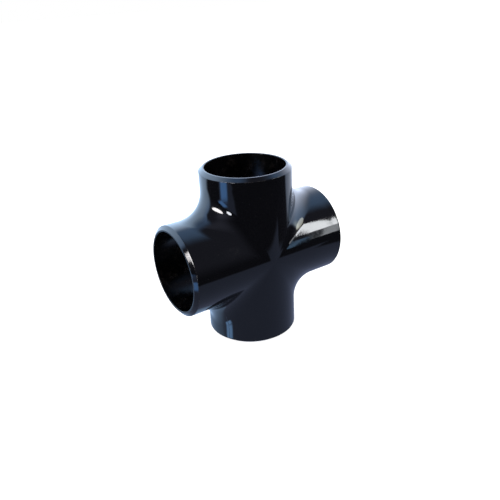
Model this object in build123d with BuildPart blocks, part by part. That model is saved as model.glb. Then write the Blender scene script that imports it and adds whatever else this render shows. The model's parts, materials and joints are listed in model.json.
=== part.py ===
"""Equal butt-welding pipe cross, DN 80 (NPS 3), standard wall.

One seamless piece of formed carbon steel.  Two equal barrels cross at a right
angle in the XZ plane, their axes meet at the origin, and the four crotches
between them are blended by a ball of one radius, outside and inside.  Each of
the four ends is machined square and has a bevel for the weld.
"""
import os
from math import radians, tan

from build123d import *

os.makedirs("parts", exist_ok=True)

# Pipe size
OUTSIDE_RADIUS = 88.9 / 2
WALL = 5.49
BORE_RADIUS = OUTSIDE_RADIUS - WALL

# Fitting size
CENTRE_TO_END = 86.0
CROTCH_RADIUS = 28.0

# Weld preparation at each end: a flat land beside the bore, then a bevel
LAND = 1.6
BEVEL_ANGLE = 37.5
BEVEL_WIDTH = WALL - LAND
BEVEL_DEPTH = BEVEL_WIDTH * tan(radians(BEVEL_ANGLE))

# The bore is cut a little past each end so that it opens cleanly
OVERRUN = 1.0

# Four equal arms about the Y axis, which meet on mitre planes at 45 degrees
ARMS = 4
MITRE = Plane(origin=(0, 0, 0), z_dir=(-1, 0, 1))


def crossing_octant(radius, reach):
    """One octant of two equal round bars that cross at the origin.

    The bars meet along a quarter of an ellipse, which the crotch radius blends.
    """
    from_centre = (Align.CENTER, Align.CENTER, Align.MIN)
    with BuildPart() as bars:
        Cylinder(radius, reach, align=from_centre)
        Cylinder(radius, reach, rotation=(0, 90, 0), align=from_centre)
        Box(reach, radius, reach, align=Align.MIN, mode=Mode.INTERSECT)
        fillet(bars.edges().filter_by(GeomType.ELLIPSE), CROTCH_RADIUS)
    return bars.part


outside = crossing_octant(OUTSIDE_RADIUS, CENTRE_TO_END)
inside = crossing_octant(BORE_RADIUS, CENTRE_TO_END + OVERRUN)

# The upper arm: a quarter of it is bevelled, bored and cut off at the mitre
# plane between two arms, then mirrored to the full round
with BuildPart() as arm:
    add(outside)
    end = arm.faces().sort_by(Axis.Z)[-1]
    rim = end.edges().filter_by(GeomType.CIRCLE)
    chamfer(rim, BEVEL_WIDTH, BEVEL_DEPTH, reference=end)
    add(inside, mode=Mode.SUBTRACT)
    split(bisect_by=MITRE)
    mirror(about=Plane.XZ)
    mirror(about=Plane.YZ)

with BuildPart() as cross_body:
    for turn in range(ARMS):
        add(arm.part, rotation=(0, turn * 360 / ARMS, 0))

cross_body.part.label = "cross_body"
export_step(cross_body.part, "parts/cross_body.step")
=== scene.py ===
"""Gloss black butt-welding pipe cross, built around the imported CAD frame."""
import json
from math import acos, cos, pi, radians, sin

import bmesh
import bpy
from mathutils import Matrix, Vector, noise


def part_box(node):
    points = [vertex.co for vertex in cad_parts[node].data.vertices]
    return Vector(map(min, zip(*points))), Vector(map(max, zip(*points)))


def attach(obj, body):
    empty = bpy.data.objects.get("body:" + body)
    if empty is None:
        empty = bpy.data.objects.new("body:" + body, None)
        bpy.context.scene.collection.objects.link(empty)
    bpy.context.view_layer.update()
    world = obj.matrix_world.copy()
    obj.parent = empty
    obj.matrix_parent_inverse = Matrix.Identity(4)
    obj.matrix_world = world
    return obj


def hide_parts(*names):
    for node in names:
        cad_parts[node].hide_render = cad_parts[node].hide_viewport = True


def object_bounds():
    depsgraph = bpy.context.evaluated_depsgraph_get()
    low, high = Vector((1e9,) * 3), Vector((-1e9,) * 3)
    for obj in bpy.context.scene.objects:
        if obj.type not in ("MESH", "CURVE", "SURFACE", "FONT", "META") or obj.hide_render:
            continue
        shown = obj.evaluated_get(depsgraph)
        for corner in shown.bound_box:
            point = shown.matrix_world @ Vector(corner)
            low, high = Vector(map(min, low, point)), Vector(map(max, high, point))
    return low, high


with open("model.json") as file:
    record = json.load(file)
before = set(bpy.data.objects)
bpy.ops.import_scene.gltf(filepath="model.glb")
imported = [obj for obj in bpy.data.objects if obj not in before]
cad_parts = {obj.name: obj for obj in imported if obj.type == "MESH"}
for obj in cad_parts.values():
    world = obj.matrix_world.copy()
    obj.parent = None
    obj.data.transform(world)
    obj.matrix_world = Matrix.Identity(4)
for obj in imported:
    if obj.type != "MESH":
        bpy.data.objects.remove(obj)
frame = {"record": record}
cad_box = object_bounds()

MM = 0.001

# ---------------------------------------------------------------- dimensions
BODY_NODE = "cross_body"
low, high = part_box(BODY_NODE)
REACH = high[2]
OUTER_R = high[1]
mounts = {m["name"]: m for m in frame["record"]["mounts"]}
BORE_R = mounts["upright_bore"]["dims"]["r_mm"] * MM
CROTCH_R = 28.0 * MM
LAND = 1.6 * MM
BEVEL_ANGLE = radians(37.5)
BEVEL_DEPTH = (OUTER_R - BORE_R - LAND) * sin(BEVEL_ANGLE) / cos(BEVEL_ANGLE)
BEVEL_START = REACH - BEVEL_DEPTH
EDGE_R = 0.45 * MM
WAVE_DEPTH = 0.10 * MM
GROOVE_PITCH = 0.35 * MM

# Mesh density: steps round a quarter of a barrel, then along a barrel and over a crotch
PHI_STEPS = 40
OUTSIDE_STEPS = (30, 24)
INSIDE_STEPS = (22, 14)
CORNER_STEPS = 5
PROFILE_TAIL = 2.0 * MM
PROFILE_STEP = 0.9 * MM


# ------------------------------------------------------------------- geometry
def arc_about(centre, start, end, radius, steps):
    """Points on the arc from start to end, both on a sphere about centre."""
    u = start - centre
    v = end - centre
    turn = acos(max(-1.0, min(1.0, u.dot(v) / radius ** 2)))
    if turn < 1e-6:
        return [start.copy() for _ in range(steps + 1)]
    points = []
    for i in range(steps + 1):
        t = i / steps
        blend = u * sin((1 - t) * turn) + v * sin(t * turn)
        points.append(centre + blend / sin(turn))
    return points


def skin_line(radius, crotch, phi, height, straight_steps, arc_steps):
    """A line over one octant of the skin: down one barrel, over the crotch, along the other.

    phi is 0 in the plane of the two axes and a right angle on the flank.
    """
    c = cos(phi)
    s = sin(phi)
    k = radius + crotch
    leave = Vector((radius * c, radius * s, k * c))
    meet = Vector((k * c, radius * s, radius * c))
    ball = Vector((k * c, k * s, k * c))
    down = []
    for i in range(straight_steps):
        z = height + (leave.z - height) * i / straight_steps
        down.append(Vector((leave.x, leave.y, z)))
    over = arc_about(ball, leave, meet, crotch, arc_steps)
    along = [Vector((p.z, p.y, p.x)) for p in reversed(down)]
    return down + over + along


def rounded(points, radius, steps):
    """A profile polyline with its inner corners rounded."""
    out = [points[0]]
    for a, b, c in zip(points, points[1:], points[2:]):
        u = (a - b).normalized()
        v = (c - b).normalized()
        half = u.angle(v) / 2
        back = min(radius * cos(half) / sin(half), 0.45 * min((a - b).length, (c - b).length))
        r = back * sin(half) / cos(half)
        centre = b + (u + v).normalized() * (r / sin(half))
        start = b + u * back - centre
        end = b + v * back - centre
        sweep = start.angle(end)
        for i in range(steps + 1):
            t = i / steps
            blend = start * sin((1 - t) * sweep) + end * sin(t * sweep)
            out.append(centre + blend / sin(sweep))
    out.append(points[-1])
    return out


def end_profile():
    """Radius and height points of one end, from the skin over the bevel and land into the bore."""
    corners = [
        Vector((OUTER_R, BEVEL_START - PROFILE_TAIL)),
        Vector((OUTER_R, BEVEL_START)),
        Vector((BORE_R + LAND, REACH)),
        Vector((BORE_R, REACH)),
        Vector((BORE_R, REACH - PROFILE_TAIL)),
    ]
    return rounded(corners, EDGE_R, CORNER_STEPS)


def fill_in(points, longest):
    """Add points along a profile so that no step is longer than longest."""
    out = [points[0]]
    for a, b in zip(points, points[1:]):
        n = max(1, round((b - a).length / longest + 0.499))
        for i in range(1, n + 1):
            out.append(a + (b - a) * i / n)
    return out


def add_waviness(bm):
    """Sink the formed walls by up to a tenth of a millimetre in soft waves, never outwards."""
    bm.normal_update()
    moves = []
    for v in bm.verts:
        along = max(abs(v.co.x), abs(v.co.z))
        fade = smooth(BEVEL_START - 0.5 * MM, BEVEL_START - 8 * MM, along)
        # Waves about 22 mm and 11 mm long
        broad = noise.noise(v.co * 45)
        narrow = noise.noise(v.co * 90 + Vector((7, 3, 5)))
        wave = 0.6 * broad + 0.4 * narrow
        moves.append(v.normal * (-WAVE_DEPTH * (0.5 + 0.5 * wave) * fade))
    for v, move in zip(bm.verts, moves):
        v.co += move


def build_body():
    """The whole fitting as one closed mesh: eight mirrored octants of closed loops.

    The faces of the bores and of the flat lands get the second material.
    """
    profile = fill_in(end_profile(), PROFILE_STEP)
    ring = profile[1:-1]
    rim_z = profile[0].y
    bore_z = profile[-1].y
    grid = []
    for i in range(PHI_STEPS + 1):
        phi = pi / 2 * i / PHI_STEPS
        c = cos(phi)
        s = sin(phi)
        outer = skin_line(OUTER_R, CROTCH_R, phi, rim_z, *OUTSIDE_STEPS)
        inner = skin_line(BORE_R, CROTCH_R, phi, bore_z, *INSIDE_STEPS)
        x_end = [Vector((p.y, p.x * s, p.x * c)) for p in ring]
        z_end = [Vector((p.x * c, p.x * s, p.y)) for p in reversed(ring)]
        grid.append(outer + x_end + inner[::-1] + z_end)
    land = [p.x < BORE_R + LAND for p in ring]
    inside = [False] * len(outer) + land + [True] * len(inner) + land[::-1]
    bm = bmesh.new()
    for sx in (1, -1):
        for sy in (1, -1):
            for sz in (1, -1):
                rows = []
                for line in grid:
                    rows.append([bm.verts.new((p.x * sx, p.y * sy, p.z * sz)) for p in line])
                flip = sx * sy * sz < 0
                for a, b in zip(rows, rows[1:]):
                    n = len(a)
                    for j in range(n):
                        k = (j + 1) % n
                        quad = [a[j], a[k], b[k], b[j]]
                        face = bm.faces.new(quad if flip else quad[::-1])
                        face.material_index = int(inside[j] and inside[k])
    bmesh.ops.remove_doubles(bm, verts=bm.verts, dist=1e-7)
    bmesh.ops.recalc_face_normals(bm, faces=bm.faces)
    for face in bm.faces:
        face.smooth = True
    add_waviness(bm)
    mesh = bpy.data.meshes.new("cross")
    bm.to_mesh(mesh)
    bm.free()
    piece = bpy.data.objects.new("cross", mesh)
    bpy.context.scene.collection.objects.link(piece)
    return piece


# ------------------------------------------------------------------ materials
def node(tree, kind, **values):
    """Add a shader node and set its properties and named inputs."""
    n = tree.nodes.new(kind)
    for key, value in values.items():
        if hasattr(n, key):
            setattr(n, key, value)
        else:
            n.inputs[key.replace("_", " ")].default_value = value
    return n


def calc(tree, operation, *terms):
    """A math node on sockets and plain numbers."""
    n = tree.nodes.new("ShaderNodeMath")
    n.operation = operation
    for slot, term in zip(n.inputs, terms):
        if isinstance(term, (int, float)):
            slot.default_value = term
        else:
            tree.links.new(term, slot)
    return n.outputs[0]


def spread(tree, value, low, high, to_low, to_high):
    """Map low..high to to_low..to_high with soft ends, and hold it there outside."""
    n = node(tree, "ShaderNodeMapRange", interpolation_type="SMOOTHSTEP")
    tree.links.new(value, n.inputs["Value"])
    n.inputs["From Min"].default_value = low
    n.inputs["From Max"].default_value = high
    n.inputs["To Min"].default_value = to_low
    n.inputs["To Max"].default_value = to_high
    return n.outputs["Result"]


def grain(tree, place, size, detail, roughness=0.5):
    """Noise whose features are about size metres across."""
    n = node(tree, "ShaderNodeTexNoise", Scale=1 / size, Detail=detail, Roughness=roughness)
    tree.links.new(place, n.inputs["Vector"])
    return n.outputs["Fac"]


def specks(tree, place, spacing, radius):
    """1 in small round spots about spacing apart."""
    n = node(tree, "ShaderNodeTexVoronoi", Scale=1 / spacing)
    tree.links.new(place, n.inputs["Vector"])
    core = 0.4 * radius / spacing
    return spread(tree, n.outputs["Distance"], core, radius / spacing, 1.0, 0.0)


def blend_colours(tree, factor, first, second):
    """The first colour where factor is 0 and the second where it is 1; sockets or plain colours."""
    n = node(tree, "ShaderNodeMix", data_type="RGBA")
    tree.links.new(factor, n.inputs[0])
    for slot, value in ((n.inputs[6], first), (n.inputs[7], second)):
        if isinstance(value, tuple):
            slot.default_value = (*value, 1)
        else:
            tree.links.new(value, slot)
    return n.outputs[2]


def place_nodes(tree):
    """Object coordinates, and the distance of a point along the arm that it lies on."""
    place = node(tree, "ShaderNodeTexCoord").outputs["Object"]
    split = node(tree, "ShaderNodeSeparateXYZ")
    tree.links.new(place, split.inputs[0])
    across = calc(tree, "ABSOLUTE", split.outputs["X"])
    upright = calc(tree, "ABSOLUTE", split.outputs["Z"])
    return place, calc(tree, "MAXIMUM", across, upright)


def turned_grooves(tree, along, pitch):
    """Fine rings left by the tool that cut the weld bevel, 0 to 1, flat on the rest of the skin."""
    wave = calc(tree, "SINE", calc(tree, "MULTIPLY", along, 2 * pi / pitch))
    bevel = spread(tree, along, BEVEL_START - 0.2 * MM, BEVEL_START + 0.2 * MM, 0.0, 0.5)
    return calc(tree, "MULTIPLY", calc(tree, "ADD", wave, 1.0), bevel)


def add_bump(tree, height, depth, below=None):
    """A bump of height times depth metres, on top of another bump."""
    n = node(tree, "ShaderNodeBump", Strength=1.0, Distance=depth)
    tree.links.new(height, n.inputs["Height"])
    if below is not None:
        tree.links.new(below, n.inputs["Normal"])
    return n.outputs["Normal"]


def black_enamel():
    """Stoved gloss black over steel: orange peel, nibs, dust, and thin paint on the cut edges."""
    mat = bpy.data.materials.new("black_enamel")
    mat.use_nodes = True
    tree = mat.node_tree
    bsdf = tree.nodes["Principled BSDF"]
    bsdf.inputs["IOR"].default_value = 1.5
    place, along = place_nodes(tree)

    heel = calc(tree, "ABSOLUTE", calc(tree, "SUBTRACT", along, BEVEL_START))
    nose = calc(tree, "ABSOLUTE", calc(tree, "SUBTRACT", along, REACH))
    edge = spread(tree, calc(tree, "MINIMUM", heel, nose), 0.05 * MM, 0.55 * MM, 1.0, 0.0)
    chips = spread(tree, grain(tree, place, 1.6 * MM, 5.0, 0.65), 0.50, 0.62, 0.0, 1.0)
    bare = calc(tree, "MULTIPLY", edge, chips)

    cloud = grain(tree, place, 30 * MM, 3.0, 0.6)
    dust = specks(tree, place, 3.4 * MM, 0.16 * MM)
    smear = spread(tree, grain(tree, place, 9 * MM, 4.0, 0.55), 0.50, 0.72, 0.0, 1.0)
    film = blend_colours(tree, cloud, (0.0003, 0.0003, 0.0004), (0.0010, 0.0010, 0.0013))
    dusty = blend_colours(tree, calc(tree, "MULTIPLY", dust, 0.5), film, (0.030, 0.029, 0.027))
    paint = blend_colours(tree, bare, dusty, (0.020, 0.018, 0.017))
    tree.links.new(paint, bsdf.inputs["Base Color"])
    tree.links.new(calc(tree, "MULTIPLY", bare, 0.35), bsdf.inputs["Metallic"])

    smeared = calc(tree, "MULTIPLY", smear, 0.045)
    clouded = calc(tree, "MULTIPLY", cloud, 0.05)
    chipped = calc(tree, "MULTIPLY", bare, 0.22)
    dusted = calc(tree, "MULTIPLY", dust, 0.25)
    gloss = calc(tree, "ADD", smeared, clouded)
    dull = calc(tree, "ADD", chipped, dusted)
    rough = calc(tree, "ADD", 0.035, calc(tree, "ADD", gloss, dull))
    tree.links.new(rough, bsdf.inputs["Roughness"])

    normal = add_bump(tree, turned_grooves(tree, along, GROOVE_PITCH), 0.003 * MM)
    normal = add_bump(tree, grain(tree, place, 2.2 * MM, 1.0), 0.008 * MM, normal)
    normal = add_bump(tree, specks(tree, place, 5.2 * MM, 0.30 * MM), 0.012 * MM, normal)
    tree.links.new(normal, bsdf.inputs["Normal"])
    return mat


def bore_black():
    """Thin dull paint on the bores and the lands, over mill scale."""
    mat = bpy.data.materials.new("bore_black")
    mat.use_nodes = True
    tree = mat.node_tree
    bsdf = tree.nodes["Principled BSDF"]
    bsdf.inputs["Specular IOR Level"].default_value = 0.35
    place, along = place_nodes(tree)
    scale = spread(tree, grain(tree, place, 7 * MM, 6.0, 0.62), 0.50, 0.68, 0.0, 1.0)
    film = blend_colours(tree, scale, (0.0004, 0.0004, 0.0005), (0.0035, 0.0026, 0.0022))
    tree.links.new(film, bsdf.inputs["Base Color"])
    patch = calc(tree, "MULTIPLY", grain(tree, place, 12 * MM, 4.0), 0.10)
    rough = calc(tree, "ADD", calc(tree, "MULTIPLY", scale, 0.08), calc(tree, "ADD", patch, 0.15))
    tree.links.new(rough, bsdf.inputs["Roughness"])
    normal = add_bump(tree, turned_grooves(tree, along, GROOVE_PITCH), 0.002 * MM)
    normal = add_bump(tree, grain(tree, place, 1.1 * MM, 4.0), 0.012 * MM, normal)
    tree.links.new(normal, bsdf.inputs["Normal"])
    return mat


# ---------------------------------------------------------------------- stage
# Azimuths, elevations, widths, heights and tilts are in degrees, distances in metres
FLOOR_Z = cad_box[0][2]
FLOOR_HALF = 6.0

# Colours of the room that the gloss mirrors, as red, green and blue light
ROOM = Vector((0.95, 1.0, 1.4))
CEILING = Vector((0.60, 1.00, 1.75))
RIGHT_SHEET = Vector((1.3, 1.9, 2.9))
RIGHT_SHEET_BACK = Vector((2.2, 2.5, 3.2))
RIGHT_SHEET_TOP = Vector((0.62, 1.05, 1.80))
RIGHT_SHEET_HEM = Vector((3.4, 3.5, 2.4))
LEFT_SHEET = Vector((1.1, 1.8, 3.1))
LEFT_SHEET_BACK = Vector((2.2, 3.0, 4.1))
BEYOND_TABLE = Vector((0.07, 0.08, 0.11))
TABLE_FRONT = Vector((0.25, 0.30, 0.47))
TABLE_BACK = Vector((0.42, 0.62, 0.95))
TABLE_EDGE = Vector((0.08, 0.09, 0.12))
TABLE_GLEAM = Vector((0.9, 2.1, 4.6))
# A painted streak of blue light on the well, for the gloss to mirror
WELL_LIGHT_STREAK = Vector((1.4, 2.6, 4.6))

# The mirrored dome, and the table as a fan about a point beside the foot. Between two
# bearings the fan starts further out, and the well below shows through that gap.
DOME_R = 4.0
FAN_CENTRE = Vector((-38 * MM, -19 * MM, FLOOR_Z + 0.2 * MM))
FAN_GAP = 0.048
GAP_BEARINGS = (-132, -60)
WELL_DROP = Vector((0, 0, -60 * MM))

LAMP_DISTANCE = 3.0
LAMPS = (
    # name, azimuth, elevation, width, height, radiance, colour, tilt, shape
    ("window_left", -79.5, 14.1, 32, 11, 20, (1, 0.97, 0.98), -25, "ELLIPSE"),
    ("window_left_low", -63.5, -8, 9, 9, 18, (0.9, 0.93, 1), 0, "ELLIPSE"),
    ("window_right", 40.0, 22.5, 4.2, 21, 17, (0.94, 0.97, 1), -10, "RECTANGLE"),
    ("window_right_low", 38.6, 5, 2.4, 15, 5, (0.9, 0.95, 1), -6, "RECTANGLE"),
    ("window_right_wide", 52, 19, 14, 22, 4.5, (1, 1, 0.82), 0, "ELLIPSE"),
    ("window_gap", 33.9, 0, 1.3, 12, 2.6, (0.33, 0.62, 1), -8, "RECTANGLE"),
)

CAMERA_AZIMUTH = -32.915
CAMERA_ELEVATION = 24.96
CAMERA_ROLL = radians(-2.886)
CAMERA_DISTANCE = 6.624 * 2 * OUTER_R
SENSOR_MM = 36
LENS_MM = 42.1668
LENS_SHIFT = (0.00226, -0.00564)


def build_floor():
    """A pale floor under the object, which the gloss doesn't mirror."""
    mesh = bpy.data.meshes.new("floor")
    corners = [(-1, -1), (1, -1), (1, 1), (-1, 1)]
    verts = [(x * FLOOR_HALF, y * FLOOR_HALF, FLOOR_Z) for x, y in corners]
    mesh.from_pydata(verts, [], [(0, 1, 2, 3)])
    floor = bpy.data.objects.new("floor", mesh)
    bpy.context.scene.collection.objects.link(floor)
    mat = bpy.data.materials.new("pale_floor")
    mat.use_nodes = True
    bsdf = mat.node_tree.nodes["Principled BSDF"]
    bsdf.inputs["Base Color"].default_value = (0.8, 0.8, 0.8, 1)
    bsdf.inputs["Roughness"].default_value = 0.9
    bsdf.inputs["Specular IOR Level"].default_value = 0.0
    bsdf.inputs["Emission Color"].default_value = (1, 1, 1, 1)
    bsdf.inputs["Emission Strength"].default_value = 0.7
    mesh.materials.append(mat)
    floor.visible_glossy = False


def direction(azimuth, elevation):
    """Unit vector; azimuth 0 is towards -Y and 90 towards +X, in degrees."""
    a = radians(azimuth)
    e = radians(elevation)
    return Vector((sin(a) * cos(e), -cos(a) * cos(e), sin(e)))


def smooth(start, stop, value):
    """0 at start, 1 at stop, with a soft change between them; start may be the larger."""
    t = max(0.0, min(1.0, (value - start) / (stop - start)))
    return t * t * (3 - 2 * t)


def band(low, high, soft, value):
    """1 between low and high, 0 outside them, with soft shoulders."""
    return smooth(low - soft, low + soft, value) * smooth(high + soft, high - soft, value)


def painted_table_light(leftward):
    """Painted table light: grey in front of the object and paler blue behind it; leftward is in
    degrees from -Y.
    """
    return TABLE_FRONT.lerp(TABLE_BACK, band(120, 240, 20, leftward))


def studio_radiance(azimuth, elevation):
    """Colour of the studio far around the object, as it shows in the gloss, in one direction.

    The room in front is dark. Pale sheets hang on the left round to the back and on the
    right, and a dim ceiling joins them.
    """
    x, y, _ = direction(azimuth, elevation)
    leftward = -azimuth % 360

    # The room in front: dark, with a paler patch high up and another low on the left
    room = 0.05 + 0.12 * smooth(-10, 20, elevation)
    room += 0.18 * smooth(5, 35, elevation) * band(-50, -20, 12, azimuth)
    room += 0.40 * band(-66, -55, 12, azimuth) * band(-5, 28, 14, elevation)
    light = ROOM * room

    overhead = smooth(52, 66, elevation) * smooth(-0.14, 0.16, 0.8 * y - 0.6 * x)
    light = light.lerp(CEILING, overhead)

    # The sheet on the right, with a slanted bright hem and a side that leans away upwards
    lower = max(-23, 18 - 0.9 * (azimuth - 40))
    side = 46 + 0.25 * max(0, elevation - 10) + 0.6 * max(0, elevation - 25)
    sheet = RIGHT_SHEET.lerp(RIGHT_SHEET_BACK, smooth(60, 100, azimuth))
    sheet *= 0.30 + 0.70 * smooth(-25, 8, elevation) * smooth(58, 14, elevation)
    sheet = sheet.lerp(RIGHT_SHEET_TOP, smooth(30, 56, elevation))
    haze = 5 + 0.9 * max(0, elevation - 40)
    hem = RIGHT_SHEET_HEM * smooth(8, 0, abs(elevation - lower - 4))
    sheet += hem * smooth(75, 45, azimuth)
    cover = smooth(lower - 2, lower + 3, elevation) * smooth(side - haze, side + haze, azimuth)
    light = light.lerp(sheet, cover * smooth(84, 60, elevation))

    # The sheet on the left, whose near edge curves, and which ends behind the object
    edge = 100 + 0.0125 * max(0, 40 - elevation) ** 2 - 1.2 * max(0, elevation - 45)
    sheet = LEFT_SHEET.lerp(LEFT_SHEET_BACK, smooth(95, 135, leftward))
    sheet *= 0.55 + 0.45 * smooth(-20, 25, elevation)
    cover = smooth(edge - 5, edge + 7, leftward) * smooth(217, 203, leftward)
    light = light.lerp(sheet, cover * smooth(78, 48, elevation))

    # Below the horizon: the table's colour, or the dark floor beyond it
    covered = max(band(56, 250, 6, leftward), smooth(-36, -42, elevation))
    beyond = BEYOND_TABLE.lerp(painted_table_light(leftward), covered)
    return light.lerp(beyond, smooth(-25, -29, elevation))


def table_radiance(bearing, distance, share):
    """Painted light of the table in the gloss, by bearing and distance from the fan's centre, with
    a painted wedge of bright blue light on it.

    share runs from 0 at the fan's inner edge to 1 at its outer edge, where the colour
    sinks into the dark.
    """
    leftward = -bearing % 360
    light = painted_table_light(leftward)
    # gleam: a painted wedge and a nearer patch of bright blue light on the table
    far = band(79, 97, 3, leftward) * smooth(0.390, 0.425, distance)
    near = band(73, 79, 2, leftward) * band(0.190, 0.320, 0.02, distance)
    gleam = max(far, near)
    light = light.lerp(TABLE_GLEAM, gleam)
    return light.lerp(TABLE_EDGE, smooth(0.88, 1.0, share) * (1 - gleam))


def well_radiance(bearing, distance):
    """Colour of the surface below the gap in the table: plain painted table light, with one short
    streak of painted blue light that the gloss mirrors.
    """
    leftward = -bearing % 360
    # Painted streak of bright blue light on the well
    light_streak = band(89, 109, 3, leftward) * band(0.096, 0.128, 0.004, distance)
    return painted_table_light(leftward).lerp(WELL_LIGHT_STREAK, light_streak)


def glow_material():
    """Shines with the colours stored on the mesh."""
    mat = bpy.data.materials.new("studio_glow")
    mat.use_nodes = True
    tree = mat.node_tree
    tree.nodes.clear()
    glow = node(tree, "ShaderNodeAttribute", attribute_name="glow")
    emission = node(tree, "ShaderNodeEmission", Strength=1.0)
    out = node(tree, "ShaderNodeOutputMaterial")
    tree.links.new(glow.outputs["Color"], emission.inputs["Color"])
    tree.links.new(emission.outputs[0], out.inputs["Surface"])
    return mat


def glowing_grid(name, point, radiance, columns, rows, mat):
    """A grid that closes round on itself, seen by glossy rays and not by the camera.

    point and radiance give the place and the colour at u along the row and v across the rows.
    """
    verts = []
    colours = []
    for j in range(rows + 1):
        for i in range(columns):
            verts.append(point(i / columns, j / rows))
            colours.append(radiance(i / columns, j / rows))
    faces = []
    for j in range(rows):
        for i in range(columns):
            k = (i + 1) % columns
            this_row = j * columns
            next_row = (j + 1) * columns
            faces.append((this_row + i, this_row + k, next_row + k, next_row + i))
    mesh = bpy.data.meshes.new(name)
    mesh.from_pydata(verts, [], faces)
    layer = mesh.color_attributes.new("glow", "FLOAT_COLOR", "POINT")
    for item, value in zip(layer.data, colours):
        item.color = (*value, 1)
    mesh.materials.append(mat)
    obj = bpy.data.objects.new(name, mesh)
    bpy.context.scene.collection.objects.link(obj)
    obj.visible_camera = False
    obj.visible_diffuse = False
    obj.visible_shadow = False
    obj.visible_transmission = False


def bearing(u):
    """Degrees from -Y of a grid's column; u runs from 0 to 1 round the grid."""
    return -180 + 360 * u


def table_reach(angle):
    """How far the table stretches from the fan's centre at a bearing."""
    if angle < -101 or angle > 95:
        return 0.38
    front = 0.227 / max(0.05, cos(radians(angle + 4)))
    if angle < 0:
        return min(front, 0.80)
    if angle < 50:
        return min(front, 0.42)
    return min(front, 0.285)


def table_distance(u, v):
    start = FAN_GAP if GAP_BEARINGS[0] < bearing(u) < GAP_BEARINGS[1] else 0.0
    return start + (table_reach(bearing(u)) - start) * v


def table_point(u, v):
    return FAN_CENTRE + direction(bearing(u), 0) * table_distance(u, v)


def table_glow(u, v):
    return table_radiance(bearing(u), table_distance(u, v), v)


def well_point(u, v):
    return FAN_CENTRE + direction(bearing(u), 0) * table_reach(bearing(u)) * v + WELL_DROP


def well_glow(u, v):
    return well_radiance(bearing(u), table_reach(bearing(u)) * v)


def dome_point(u, v):
    return direction(bearing(u), -90 + 180 * v) * DOME_R


def dome_glow(u, v):
    return studio_radiance(bearing(u), -90 + 180 * v)


def build_studio():
    """What the gloss reflects: the table, the well under its gap, and a dome around both."""
    mat = glow_material()
    # The table, the well and the dome glow though they are no lamps; their colours are painted
    # light for the gloss to mirror
    glowing_grid("table_well", well_point, well_glow, 180, 200, mat)
    glowing_grid("studio", dome_point, dome_glow, 360, 180, mat)
    glowing_grid("table", table_point, table_glow, 240, 60, mat)


def build_world():
    """An even white surround."""
    world = bpy.data.worlds.new("white")
    bpy.context.scene.world = world
    world.use_nodes = True
    world.node_tree.nodes["Background"].inputs["Color"].default_value = (1, 1, 1, 1)


def softbox(name, azimuth, elevation, width, height, radiance, colour, tilt, shape):
    """A flat light facing the object; width, height and tilt are angles in degrees."""
    light = bpy.data.lights.new(name, "AREA")
    light.shape = shape
    light.size = 2 * LAMP_DISTANCE * sin(radians(width / 2))
    light.size_y = 2 * LAMP_DISTANCE * sin(radians(height / 2))
    light.energy = radiance * pi * light.size * light.size_y
    light.color = colour
    lamp = bpy.data.objects.new(name, light)
    bpy.context.scene.collection.objects.link(lamp)
    out = direction(azimuth, elevation)
    lamp.location = out * LAMP_DISTANCE
    turn = Matrix.Rotation(radians(tilt), 3, out)
    lamp.rotation_euler = (turn @ out.to_track_quat("Z", "Y").to_matrix()).to_euler()
    lamp.visible_camera = False


def build_camera():
    """The camera, rolled a little about its line of sight."""
    back = direction(CAMERA_AZIMUTH, CAMERA_ELEVATION)
    across = Vector((cos(radians(CAMERA_AZIMUTH)), sin(radians(CAMERA_AZIMUTH)), 0))
    above = back.cross(across)
    right = across * cos(CAMERA_ROLL) + above * sin(CAMERA_ROLL)
    up = above * cos(CAMERA_ROLL) - across * sin(CAMERA_ROLL)
    data = bpy.data.cameras.new("camera")
    data.sensor_width = SENSOR_MM
    data.lens = LENS_MM
    data.shift_x, data.shift_y = LENS_SHIFT
    data.clip_start = 0.01
    cam = bpy.data.objects.new("camera", data)
    bpy.context.scene.collection.objects.link(cam)
    axes = Matrix((right, up, back)).transposed().to_4x4()
    cam.matrix_world = Matrix.Translation(back * CAMERA_DISTANCE) @ axes
    bpy.context.scene.camera = cam


# ----------------------------------------------------------------------- main
bpy.context.scene.view_settings.view_transform = "Standard"
build_camera()
build_floor()
build_world()
build_studio()
for lamp in LAMPS:
    softbox(*lamp)

body = build_body()
body.data.materials.append(black_enamel())
body.data.materials.append(bore_black())
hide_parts(BODY_NODE)
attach(body, "root")

print("faces", len(body.data.polygons))
